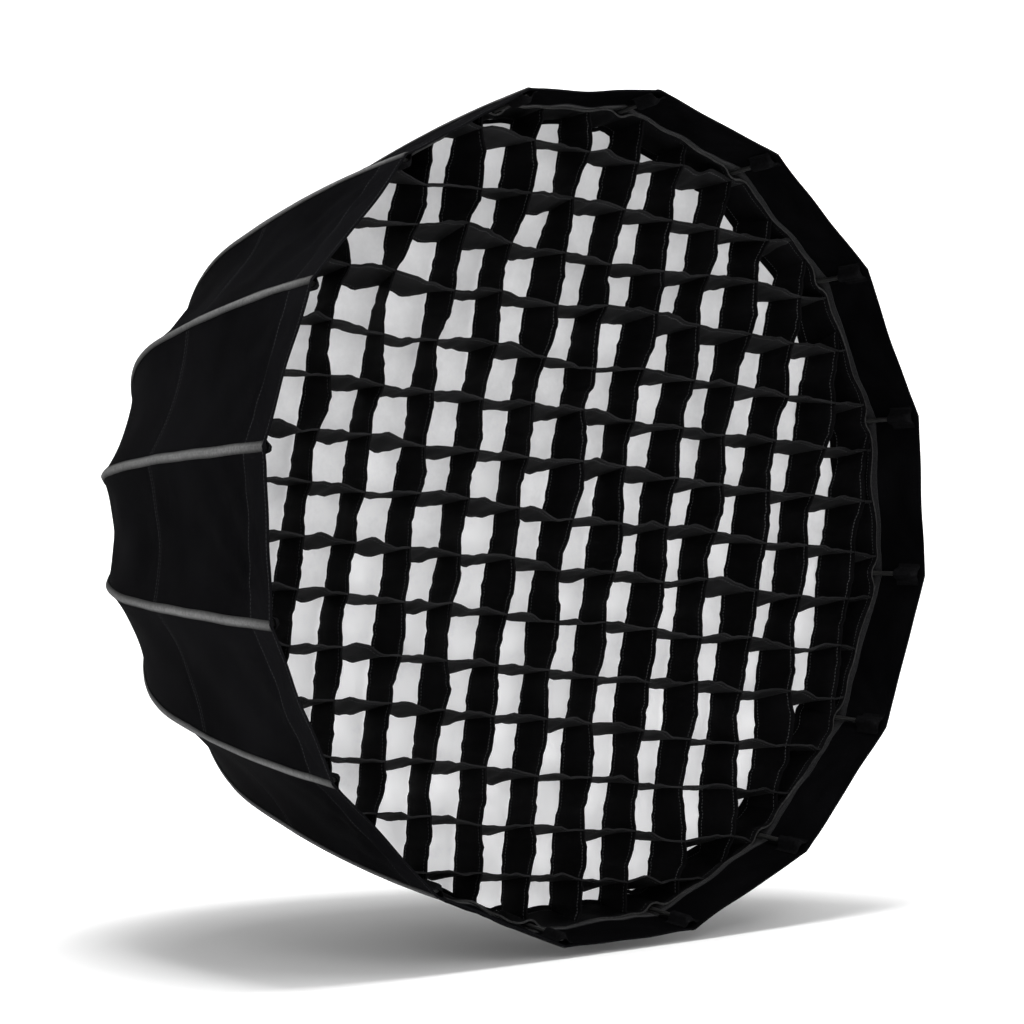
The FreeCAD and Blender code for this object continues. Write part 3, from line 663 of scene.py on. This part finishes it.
def draw_in(piece, body, node):
    """The piece belongs to a body, keeps a mesh of its own and hides the CAD node it stands for."""
    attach(piece, body)
    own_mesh(piece)
    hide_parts(node)


def bend_at_clamp(piece, k):
    """The end of a gore, held between the hub's two plates, with its place baked into its mesh."""
    clamp = np.array([0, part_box("hub_cover")[0][1], 0])
    start, end = (tuple(outward(rib_angle(k)) * radius + clamp) for radius in CLAMP_RADII)
    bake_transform(piece)
    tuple(start)
    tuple(end)


def shell_piece(name, k, start, end, lift, thick, materials, keep, node, dark_inside=0.0):
    """A stretch of cloth round rib k, from the middle of one gore to the middle of the next."""
    rows = max(5, int((end - start) / (8 * MM)) + 1)
    s_values = np.linspace(start, end, rows)
    points, normals, uvs = shell_patch(k, s_values, ACROSS, lift)
    faces = outward_faces(points, normals, rows, len(ACROSS))
    inner = None
    if dark_inside:
        centres = [uvs[list(f), 1].mean() for f in faces]
        inner = [materials[1] if s < dark_inside else SILVER for s in centres]
        materials = (*materials, SILVER)
    piece = cloth(name, points, normals, faces, uvs, thick, materials, 1.0, inner)
    if keep is None:
        bend_at_clamp(piece, k)
    else:
        fold_in(piece, k, keep)
    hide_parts(node)
    return piece


def seam_tape(k):
    """Grey webbing over a rib: it lies on both gores and is a little uneven."""
    s_values = np.linspace(3 * MM, SHELL_LENGTH - 22 * MM, 120)
    places = np.linspace(-1, 1, 9)
    _, radius, slope = profile(s_values)
    width = sin(HALF) * radius
    wander = 0.5 * MM * np.sin(s_values * 19 + k * 1.7) + 0.25 * MM * np.sin(s_values * 61 + k)
    points = np.stack([shell_points(k, s_values, (place * TAPE_HALF + wander) / width, 0.5 * MM)
                       for place in places], axis=1)
    crown = (1 - places ** 2)[None, :, None] * 0.9 * MM
    points = points + crown * rib_normal(k, slope[:, None, None])
    normals = lattice_normals(points, outward(rib_angle(k)))
    uvs = np.stack(np.meshgrid(s_values, places * TAPE_HALF, indexing="ij")[::-1], axis=-1)
    tape = lattice_cloth("seam_tape_%02d" % (k + 1), points, normals, uvs, 1.0 * MM, GREY_TAPE, 0.6)
    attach(tape, "rib_%02d" % (k + 1))
    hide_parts("seam_tapes")
    return tape


def tip_pocket(k):
    """A doubled patch of tape sewn over the tip of a rod, closed at the front."""
    angle = rib_angle(k)
    out, side = outward(angle), sideways(angle)
    rows, columns = 14, 15
    points = np.zeros((rows, columns, 3))
    for r in range(rows):
        s = 5 * MM + 29 * MM * r / (rows - 1)
        depth, radius, slope = (float(v) for v in profile(s))
        inward = -rib_normal(k, slope)
        base = out * radius + np.array([0, FRONT_Y + depth, 0])
        close = min(1.0, (r + 0.6) / 2.5)
        for c in range(columns):
            t = -1 + 2 * c / (columns - 1)
            a = t * 12 * MM
            hump = 11 * MM * np.exp(-(abs(a) / (6.0 * MM)) ** 3) * close ** 0.5
            drop = abs(a) * np.tan(HALF) + 2.2 * MM
            points[r, c] = base + side * a + inward * (drop + hump)
    uvs = flat_uv(0.034, 0.03, rows, columns)[..., ::-1]
    piece = lattice_cloth("tip_pocket_%02d" % (k + 1), points, lattice_normals(points, -out), uvs,
                          1.0 * MM, BLACK_TAPE)
    fold_in(piece, k, 0.5)
    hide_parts("tip_pockets")
    return piece


def build_shell():
    """Everything that is sewn to the shell, rib by rib."""
    pile_start, pile_end = 58 * MM, 118 * MM
    doubled = 0.5 * MM  # the hem's extra thickness
    for k in range(RIBS):
        mark = "_%02d" % (k + 1)
        pile = shell_piece("loop_tape" + mark, k, pile_start, pile_end, -CLOTH - 0.2 * MM, 1.0 * MM,
                           PILE, closed_share(pile_end), "loop_tape")
        trim = [seam_tape(k), pile, tip_pocket(k)]
        for band, start, end, keep, node in bands():
            hem = node == "canopy_hem"
            skin, extra = (HEM_NYLON, doubled) if hem else (SHELL, 0.0)
            piece = shell_piece(band + mark, k, start, end, extra, CLOTH + extra, (skin, LIP, skin), keep,
                                node, dark_inside=DARK_LIP)
            width = 2 * sin(HALF) * float(profile((start + end) / 2)[1])


build_shell()


# ---- cloth across the box, cut into sectors

def sector_of(point):
    """The number of the gore whose middle line is nearest."""
    return int(round(atan2(point[2], point[0]) / STEP)) % RIBS


def face_area(points, face):
    """Area of a triangle or of a four-sided face."""
    corner = points[face[0]]
    return sum(np.linalg.norm(np.cross(points[face[i]] - corner, points[face[i + 1]] - corner)) / 2
               for i in range(1, len(face) - 1))


def in_sectors(name, surface, thick, material, body):
    """Cuts a cloth into sixteen sectors, each a piece of its own on the body.

    surface is points, normals, faces and cloth coordinates, and name is also the CAD node."""
    points, normals, faces, uvs = surface
    groups = {}
    for face in faces:
        groups.setdefault(sector_of(points[list(face)].mean(axis=0)), []).append(face)
    thick = np.broadcast_to(thick, (len(points),))
    for sector, members in sorted(groups.items()):
        used = sorted({i for f in members for i in f})
        place = {old: new for new, old in enumerate(used)}
        renumbered = [tuple(place[i] for i in f) for f in members]
        piece = cloth("%s_%02d" % (name, sector + 1), points[used], normals[used], renumbered, uvs[used],
                      thick[used], material)
        draw_in(piece, body, name)
        area = sum(face_area(points, face) for face in members)


def disc(edge, y, wave, rings=26, spokes=RIBS * 12):
    """A sixteen-sided cloth across the box, as points, normals, faces and cloth coordinates."""
    points, faces = [], []
    for ring in range(1, rings + 1):
        for spoke in range(spokes):
            angle = 2 * pi * (spoke + 0.5) / spokes
            r = edge(angle) * ring / rings
            x, z = r * cos(angle), r * sin(angle)
            points.append((x, y + wave(x, z), z))
    points.append((0, y + wave(0, 0), 0))
    middle = len(points) - 1
    for spoke in range(spokes):
        faces.append((middle, (spoke + 1) % spokes, spoke))
        faces += [ring_quad(ring, spoke, spokes) for ring in range(rings - 1)]
    points = np.array(points)
    slope_x = np.array([(wave(p[0] + MM, p[2]) - wave(p[0] - MM, p[2])) / (2 * MM) for p in points])
    slope_z = np.array([(wave(p[0], p[2] + MM) - wave(p[0], p[2] - MM)) / (2 * MM) for p in points])
    normals = np.stack([slope_x, -np.ones(len(points)), slope_z], axis=1)
    normals /= np.linalg.norm(normals, axis=1, keepdims=True)
    a, b, c = (points[faces[1][i]] for i in range(3))
    if np.cross(b - a, c - b)[1] > 0:
        faces = [tuple(reversed(f)) for f in faces]
    return points, normals, faces, points[:, [0, 2]]


def front_wave(x, z):
    wide = 1.3 * sin(x * 17 + z * 9 + 1.0) + 0.9 * sin(z * 23 - x * 11 + 2.0)
    return (wide + 0.5 * sin(x * 47 + z * 31)) * MM


def baffle_wave(x, z):
    return (1.0 * sin(x * 21 + 0.6) + 0.8 * sin(z * 19 + 1.4)) * MM


def diffuser_edge(angle):
    return inner_reach(angle, DIFFUSER_Y - FRONT_Y, 1.4 * MM)


def baffle_edge(angle):
    return polygon_radius(angle, BAFFLE_CORNER)


def rim_band(name, edge, y, width, thick, body, wave):
    """Binding tape round the edge of a cloth, one length for each side."""
    columns, rows = 25, 5
    lift = 0.9 * MM
    for sector in range(RIBS):
        mid = STEP * sector
        points = np.zeros((rows, columns, 3))
        for c in range(columns):
            angle = mid - HALF + STEP * c / (columns - 1)
            for r in range(rows):
                reach = edge(mid + (angle - mid) * 0.9999) - width * r / (rows - 1)
                x, z = reach * cos(angle), reach * sin(angle)
                points[r, c] = (x, y + wave(x, z) - lift, z)
        uvs = flat_uv(width, SIDE_LENGTH, rows, columns)
        piece = lattice_cloth("%s_%02d" % (name, sector + 1), points, facing_front(points), uvs, thick,
                              BLACK_TAPE)
        draw_in(piece, body, name)


BUTTON_OUTLINE = ((0, 0), (5.2, 0), (6.6, 0.8), (7.0, 1.8), (6.8, 2.8), (5.6, 3.6), (4.6, 3.7), (4.2, 3.0),
                  (0, 2.9))
BUTTON_HEIGHT = 3.7 * MM


def strap(index):
    """An elastic strap from the baffle to the shell, with its snap button."""
    angle = index * 2 * STEP
    out, side = outward(angle), sideways(angle)
    level = np.array([0, BAFFLE_Y + CLOTH_SINK, 0])
    start = BAFFLE_CORNER * cos(HALF) - 8 * MM
    end = inner_reach(angle, BAFFLE_Y - FRONT_Y, 1.5 * MM, False)
    rows, columns = 7, 24
    points = np.zeros((rows, columns, 3))
    for r in range(rows):
        for c in range(columns):
            share = c / (columns - 1)
            half_width = STRAP_HALF - 1.6 * MM * sin(pi * share)
            reach = start + (end - start) * share
            sag = 3.0 * MM * sin(pi * share)
            points[r, c] = out * reach + side * half_width * (2 * r / (rows - 1) - 1)
            points[r, c] += np.array([0, BAFFLE_Y + CLOTH_SINK + sag, 0])
    uvs = flat_uv(2 * STRAP_HALF, end - start, rows, columns)
    piece = lattice_cloth("baffle_strap_%d" % (index + 1), points, facing_front(points), uvs, 1.1 * MM,
                          BLACK_TAPE)
    draw_in(piece, "hub", "baffle_straps")
    button = turned_piece("baffle_button_%d" % (index + 1), BUTTON_OUTLINE, out,
                          out * (end - BUTTON_HEIGHT) + level, STEEL)
    draw_in(button, "hub", "baffle_buttons")


def turned_piece(name, outline, axis, place, material, spokes=28):
    """A body of revolution: outline is (radius, height) in millimetres."""
    turn_to = Vector((0, 0, 1)).rotation_difference(Vector(axis))
    verts, faces = [], []
    for radius, height in outline:
        for spoke in range(spokes):
            a = 2 * pi * spoke / spokes
            spot = turn_to @ Vector((radius * MM * cos(a), radius * MM * sin(a), height * MM))
            verts.append(tuple(spot + Vector(place)))
    for ring in range(len(outline) - 1):
        faces += [ring_quad(ring, spoke, spokes) for spoke in range(spokes)]
    mesh = bpy.data.meshes.new(name)
    mesh.from_pydata(verts, [], faces)
    work = bmesh.new()
    work.from_mesh(mesh)
    bmesh.ops.remove_doubles(work, verts=work.verts, dist=1e-6)
    bmesh.ops.recalc_face_normals(work, faces=work.faces)
    work.to_mesh(mesh)
    work.free()
    mesh.polygons.foreach_set("use_smooth", [True] * len(mesh.polygons))
    mesh.materials.append(material)
    return put(name, mesh)


CLOTH_SINK = 0.5 * MM  # from the front of the CAD cloth to the middle
in_sectors("diffuser", disc(diffuser_edge, DIFFUSER_Y + CLOTH_SINK, front_wave), 0.8 * MM, FRONT_CLOTH,
           "diffuser")
rim_band("diffuser_hem", diffuser_edge, DIFFUSER_Y, 4.5 * MM, 1.2 * MM, "diffuser", front_wave)
in_sectors("inner_baffle", disc(baffle_edge, BAFFLE_Y + CLOTH_SINK, baffle_wave, 16, RIBS * 6), 0.8 * MM,
           INNER_CLOTH, "hub")
rim_band("baffle_rim", baffle_edge, BAFFLE_Y, 14 * MM, 1.3 * MM, "hub", baffle_wave)
for strap_index in range(8):
    strap(strap_index)


# ---- fabric grid

ROW_TILT = radians(8.5)
COLUMN_TILT = radians(13.8)
COLUMN_CURVE = 0.11
SIDE_TAPER = 0.021  # the rear edges draw in with the shell
ROW_DROP = 4.0 * MM  # the strips' rear edges hang lower
STRIP_STEP = 4.6 * MM  # between two points along a strip
FRONT_FOLD, REAR_FOLD = 2.0 * MM, 1.2 * MM  # a strip's thickness at the doubled front, behind
COLUMNS = range(-6, 7)
ROWS = range(-8, 9)
CRINKLE = 0.8 * MM
jitter = {(i, j): rng.normal(0, (2.5 + 1.2 * (j > 1) + 2.0 * (j > 2 and i < 0) + 0.8 * (i > 2)) * MM, 4)
          for i in range(-9, 10) for j in range(-11, 12)}


def grid_spot(a, b):
    """Place in the mouth of grid coordinates a (across) and b (up)."""
    x = a * cos(ROW_TILT) + b * sin(COLUMN_TILT) + COLUMN_CURVE * b * b - 6 * MM
    z = -a * sin(ROW_TILT) + b * cos(COLUMN_TILT)
    return np.array([x, z])


def crossing(i, j, deep):
    """Where column i meets row j, at the front (deep 0) or the rear (deep 1) of the grid."""
    loose = jitter[(i, j)]
    push = loose[:2] * (1 - deep) + (loose[2:] * 0.5 - np.array([0, ROW_DROP])) * deep
    spot = grid_spot(i * COLUMN_PITCH, j * ROW_PITCH) + push
    return spot * np.array([1 - SIDE_TAPER * deep, 1])


def strip_line(kind, number, t, deep):
    """A point on a strip at t along it, in cells, and at a share of its depth."""
    cell = int(np.floor(t))
    f = t - cell
    spots = []
    for step in (-1, 0, 1, 2):
        other = max(-9, min(9, cell + step))
        spots.append(crossing(number, other, deep) if kind == "column" else crossing(other, number, deep))
    p0, p1, p2, p3 = spots
    spot = 0.5 * (2 * p1 + (p2 - p0) * f + (2 * p0 - 5 * p1 + 4 * p2 - p3) * f * f
                  + (3 * p1 - p0 - 3 * p2 + p3) * f ** 3)
    swell = sin(pi * f) ** 1.3
    front, rear, belly, ripple = bulge[kind][(number, cell)]
    shape = front * (1 - deep) + rear * deep + belly * 4 * deep * (1 - deep)
    shape += ripple * (1 - 0.6 * deep) * sin(2 * pi * f)
    shape += CRINKLE * sin(2 * pi * 2.7 * f + 2.3 * number + 1.7 * cell + deep)
    shape += 0.6 * CRINKLE * sin(2 * pi * 4.1 * f + 1.1 * number - 2.9 * cell - 2 * deep)
    direction = np.array([cos(ROW_TILT), -sin(ROW_TILT)]) if kind == "column" else np.array([0.0, 1.0])
    return spot + direction * shape * swell


bulge = {"column": {}, "row": {}}
for number in range(-12, 13):
    for cell in range(-13, 14):
        side = rng.choice([-1, 1])
        bulge["column"][(number, cell)] = (
            side * rng.uniform(0.6, 5.6) * MM, side * rng.uniform(-2.4, 1.8) * MM,
            rng.uniform(-2.8, 2.8) * MM, rng.normal(0, 1.0 * MM))
        bulge["row"][(number, cell)] = (
            rng.uniform(-1.0, 4.5) * MM, rng.uniform(-10.0, 0.5) * MM,
            rng.uniform(-1.5, 1.5) * MM, rng.normal(0, 2.2 * MM))


DEPTHS = np.array([0.0, 0.05, 0.10, 0.25, 0.42, 0.6, 0.78, 0.92, 1.0])
TURN = np.linspace(-pi, pi, 1025)


def border_line(angle, deep):
    """Reach of the strip round the grid, which waves a little at its front edge."""
    gap = (1.6 + 1.2 * (1 + sin(angle * 13 + 0.8)) * (1 - deep)) * MM
    return inner_reach(angle, GRID_SETBACK + GRID_DEPTH * deep, gap)


BORDER = np.array([[border_line(a, deep) for a in TURN] for deep in DEPTHS])


def border_reach(angle, deep):
    """Distance from the axis to the strip round the grid."""
    angle = (angle + pi) % (2 * pi) - pi
    row = int(np.argmin(np.abs(DEPTHS - deep)))
    return float(np.interp(angle, TURN, BORDER[row]))


def inside_border(spot, deep):
    return np.hypot(*spot) < border_reach(atan2(spot[1], spot[0]), deep)


def strip_ends(kind, number, deep):
    """The stretch of a strip that lies inside the border, in cells."""
    inside = [t for t in np.linspace(-8.9, 8.9, 357)
              if inside_border(strip_line(kind, number, t, deep), deep)]
    if not inside:
        return None
    ends = []
    for edge, step in ((inside[0], -0.05), (inside[-1], 0.05)):
        low, high = edge, edge + step
        for _ in range(12):
            middle = (low + high) / 2
            if inside_border(strip_line(kind, number, middle, deep), deep):
                low = middle
            else:
                high = middle
        ends.append(low)
    return ends


def build_strips(kind, numbers, pitch, node, skin):
    """All the strips that run one way, standing on edge."""
    points, normals, faces, uvs, thicks = [], [], [], [], []
    for number in numbers:
        front, rear = strip_ends(kind, number, 0.0), strip_ends(kind, number, 1.0)
        if front is None or rear is None or front[1] - front[0] < 0.7:
            continue
        ends = [np.array(front) * (1 - deep) + np.array(rear) * deep for deep in DEPTHS]
        count = int((ends[0][1] - ends[0][0]) * pitch / STRIP_STEP)
        patch = np.zeros((len(DEPTHS), count, 3))
        spread = np.zeros((len(DEPTHS), count, 2))
        for r, (deep, (low, high)) in enumerate(zip(DEPTHS, ends)):
            for c in range(count):
                t = low + (high - low) * c / (count - 1)
                x, z = strip_line(kind, number, t, deep)
                patch[r, c] = (x, GRID_Y + GRID_DEPTH * deep, z)
                spread[r, c] = (t * pitch + number * 0.37, GRID_DEPTH * deep)
        start = sum(len(p) for p in points)
        turned = lattice_normals(patch)
        local = outward_faces(patch.reshape(-1, 3), turned.reshape(-1, 3), len(DEPTHS), count)
        points.append(patch.reshape(-1, 3))
        normals.append(turned.reshape(-1, 3))
        uvs.append(spread.reshape(-1, 2))
        faces += [tuple(i + start for i in f) for f in local]
        thicks.append(np.repeat(np.where(DEPTHS < 0.11, FRONT_FOLD, REAR_FOLD), count))
    in_sectors(node, (np.vstack(points), np.vstack(normals), faces, np.vstack(uvs)), np.concatenate(thicks),
               skin, "grid")


def build_border():
    """The strip round the grid, with its bound front edge, one length for each side of the mouth."""
    columns, bound_rows = 34, 3
    for sector in range(RIBS):
        mid = STEP * sector
        patch = np.zeros((len(DEPTHS), columns, 3))
        spread = np.zeros((len(DEPTHS), columns, 2))
        for r, deep in enumerate(DEPTHS):
            for c in range(columns):
                angle = mid - HALF + STEP * c / (columns - 1)
                reach = border_reach(angle, deep)
                patch[r, c] = (reach * cos(angle), GRID_Y + GRID_DEPTH * deep, reach * sin(angle))
                spread[r, c] = (SIDE_LENGTH * c / (columns - 1) + SIDE_LENGTH * sector, GRID_DEPTH * deep)
        normals = lattice_normals(patch, outward(mid))
        piece = lattice_cloth("grid_border_%02d" % (sector + 1), patch, normals, spread, REAR_FOLD,
                              COLUMN_NYLON, 0.0)
        bound = patch[:bound_rows] + np.array([0, -1.2 * MM, 0])
        edge = lattice_cloth("grid_edge_%02d" % (sector + 1), bound, normals[:bound_rows],
                             spread[:bound_rows], 2.2 * MM, (PALE_EDGE, BLACK_TAPE, PALE_EDGE), 0.25)
        for part in (piece, edge):
            draw_in(part, "grid", "grid_border")


build_strips("column", COLUMNS, ROW_PITCH, "grid_columns", COLUMN_NYLON)
build_strips("row", ROWS, COLUMN_PITCH, "grid_rows", ROW_NYLON_PAINTED_LIGHTER)
build_border()


# ---- hard parts

def finish_node(name, material):
    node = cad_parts[name]
    node.data.materials.clear()
    node.data.materials.append(material)


HARD = {"hub_ring": ANODISED, "hub_cover": PLASTIC, "hinge_pins": STEEL, "hub_screws": STEEL,
        "release_ring": PLASTIC, "bayonet_insert": ALUMINIUM}
for node_name, finish in HARD.items():
    finish_node(node_name, finish)
for index in range(1, 4):
    finish_node("knob_%d" % index, PLASTIC)
    finish_node("clamp_screw_%d" % index, STEEL)
for index in range(1, RIBS + 1):
    finish_node("rib_rod_%02d" % index, FIBRE)
    finish_node("rib_bracket_%02d" % index, ANODISED)


# ---- stage, light and camera

def backdrop():
    """A pale round floor that runs up into a low wall all round; it glows, a painted light that fades out near
    a point under the box so that only the shadow there stays dark.
    """
    floor_z = cad_box[0][2] - 10 * MM
    flat, bend, wall, steps, sides = 8.5, 1.2, 2.6, 12, 96
    line = [(0.4, 0.0), (2.0, 0.0), (flat, 0.0)]
    for step in range(1, steps + 1):
        a = pi / 2 * step / steps
        line.append((flat + bend * sin(a), bend * (1 - cos(a))))
    line.append((flat + bend, wall))
    verts = [(0.0, 0.0, floor_z)]
    for reach, z in line:
        for side in range(sides):
            a = 2 * pi * side / sides
            verts.append((reach * cos(a), reach * sin(a), floor_z + z))
    faces = [(0, 1 + side, 1 + (side + 1) % sides) for side in range(sides)]
    for ring in range(len(line) - 1):
        for side in range(sides):
            a, b, c, d = ring_quad(ring, side, sides)
            faces.append((a + 1, d + 1, c + 1, b + 1))
    mesh = bpy.data.meshes.new("backdrop")
    mesh.from_pydata(verts, [], faces)
    mesh.polygons.foreach_set("use_smooth", [True] * len(faces))
    paper = (0.86, 0.86, 0.86)
    material, tree, shader, coat = new_material("backdrop_paper", paper, 0.9, Specular_IOR_Level=0.1)
    # painted light: the paper glows more the further it lies from a point under the box, which washes out the
    # shadow except near the box
    shader.inputs["Emission Color"].default_value = (1, 1, 1, 1)
    aside = add(tree, "ShaderNodeVectorMath", operation="SUBTRACT")
    tree.links.new(coat, aside.inputs[0])
    aside.inputs[1].default_value = (-0.02, -0.42, floor_z)
    spot = add(tree, "ShaderNodeVectorMath", operation="LENGTH")
    tree.links.new(aside.outputs["Vector"], spot.inputs[0])
    floor_glow_share = ramp(tree, spot.outputs["Value"], 0.30, 0.95)
    tree.links.new(calc(tree, "MULTIPLY", floor_glow_share, 0.75), shader.inputs["Emission Strength"])
    mesh.materials.append(material)
    put("backdrop", mesh)


def area_light(name, place, target, size, power, height=None):
    data = bpy.data.lights.new(name, "AREA")
    data.shape = "RECTANGLE"
    data.size = size
    data.size_y = height or size
    data.energy = power
    obj = put(name, data)
    obj.location = place
    obj.rotation_euler = (Vector(target) - Vector(place)).to_track_quat("-Z", "Y").to_euler()


def light_it():
    """A bright room and four large lamps."""
    world = bpy.data.worlds.new("studio")
    bpy.context.scene.world = world
    world.use_nodes = True
    world.node_tree.nodes["Background"].inputs[0].default_value = (1, 1, 1, 1)
    world.node_tree.nodes["Background"].inputs[1].default_value = 0.5
    area_light("key", (-2.2, -4.8, 2.2), (0, -0.5, 0), 2.0, 60)
    area_light("fill", (3.4, -3.6, 1.0), (0, -0.5, 0), 2.4, 22)
    area_light("left_strip", (-3.4, -0.6, 1.6), (-0.3, -0.3, 0), 0.8, 14, 2.2)
    area_light("top", (-0.1, -0.9, 3.2), (0, -0.45, 0), 1.5, 130)


def camera():
    """The camera of the photograph."""
    data = bpy.data.cameras.new("camera")
    data.sensor_width = 36
    data.lens = 158.5
    data.clip_end = 50
    obj = put("camera", data)
    place = Vector((-2.998, FRONT_Y - 3.595, 0.113))
    target = Vector((-0.135, FRONT_Y, 0.009))
    roll = radians(-2.39)
    look = (target - place).to_track_quat("-Z", "Y")
    obj.rotation_mode = "QUATERNION"
    obj.rotation_quaternion = look @ Quaternion((0, 0, 1), roll)
    obj.location = place
    bpy.context.scene.camera = obj


backdrop()
light_it()
camera()
bpy.context.scene.view_settings.view_transform = "Standard"
